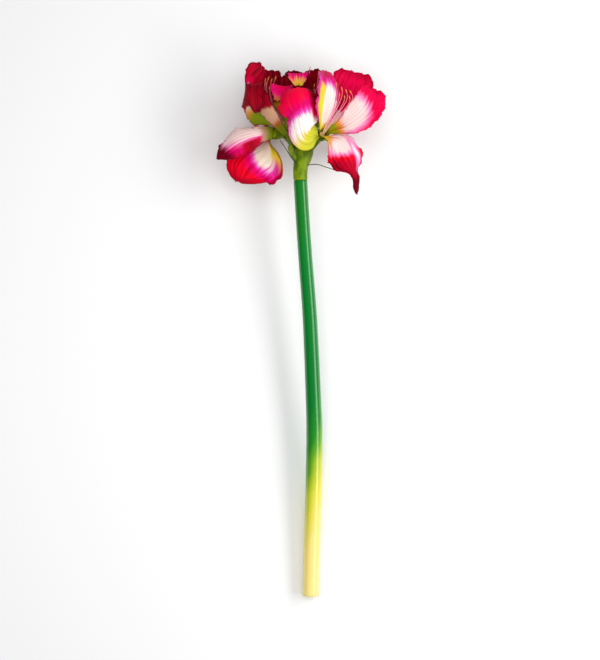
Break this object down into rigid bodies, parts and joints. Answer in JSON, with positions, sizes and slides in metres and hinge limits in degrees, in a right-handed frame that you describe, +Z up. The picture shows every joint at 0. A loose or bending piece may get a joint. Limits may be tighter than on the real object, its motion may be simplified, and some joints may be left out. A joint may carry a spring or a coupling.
{
  "type": "cut amaryllis flower",
  "caption": "Cut amaryllis lying down: open ruffled red, white and pink blooms in a head on a long smooth bowed stem.",
  "frame": {"origin": "middle of the flower's footprint, on the surface that it lies on", "axes": "+Y along the stem from the cut end towards the blooms, +Z up from the surface, +X to the right of someone who looks down on it with the blooms pointing away"},
  "size_m": [0.2196, 0.695, 0.124],
  "materials": {
    "stem_gloss": "glossy green, turning cream towards the cut end",
    "neck_green": "satin yellow-green with darker olive mottling",
    "petal": "printed cloth petal: magenta and red margin, white middle with veins, yellow-green foot",
    "filament": "matt pink threads with orange tips"
  },
  "bodies": {
    "root": {"stem": "stem_gloss", "neck": "neck_green", "petal_right_front": "petal", "petal_right_upper": "petal", "petal_right_back": "petal", "petal_right_side": "petal", "petal_right_rear": "petal", "petal_right_lower": "petal", "stamens_right": "filament", "petal_left_tongue": "petal", "petal_left_right": "petal", "petal_left_near": "petal", "petal_left_back": "petal", "petal_left_far": "petal", "petal_left_side": "petal", "stamens_left": "filament", "petal_middle_front": "petal", "petal_middle_right": "petal", "petal_middle_topright": "petal", "petal_middle_rear": "petal", "petal_middle_topleft": "petal", "petal_middle_left": "petal", "stamens_middle": "filament", "petal_low_fold": "petal", "petal_low_lining": "petal", "petal_low_broad": "petal", "petal_low_end": "petal", "petal_low_rear": "petal", "petal_low_top": "petal", "stamens_low": "filament"}
  },
  "joints": []
}
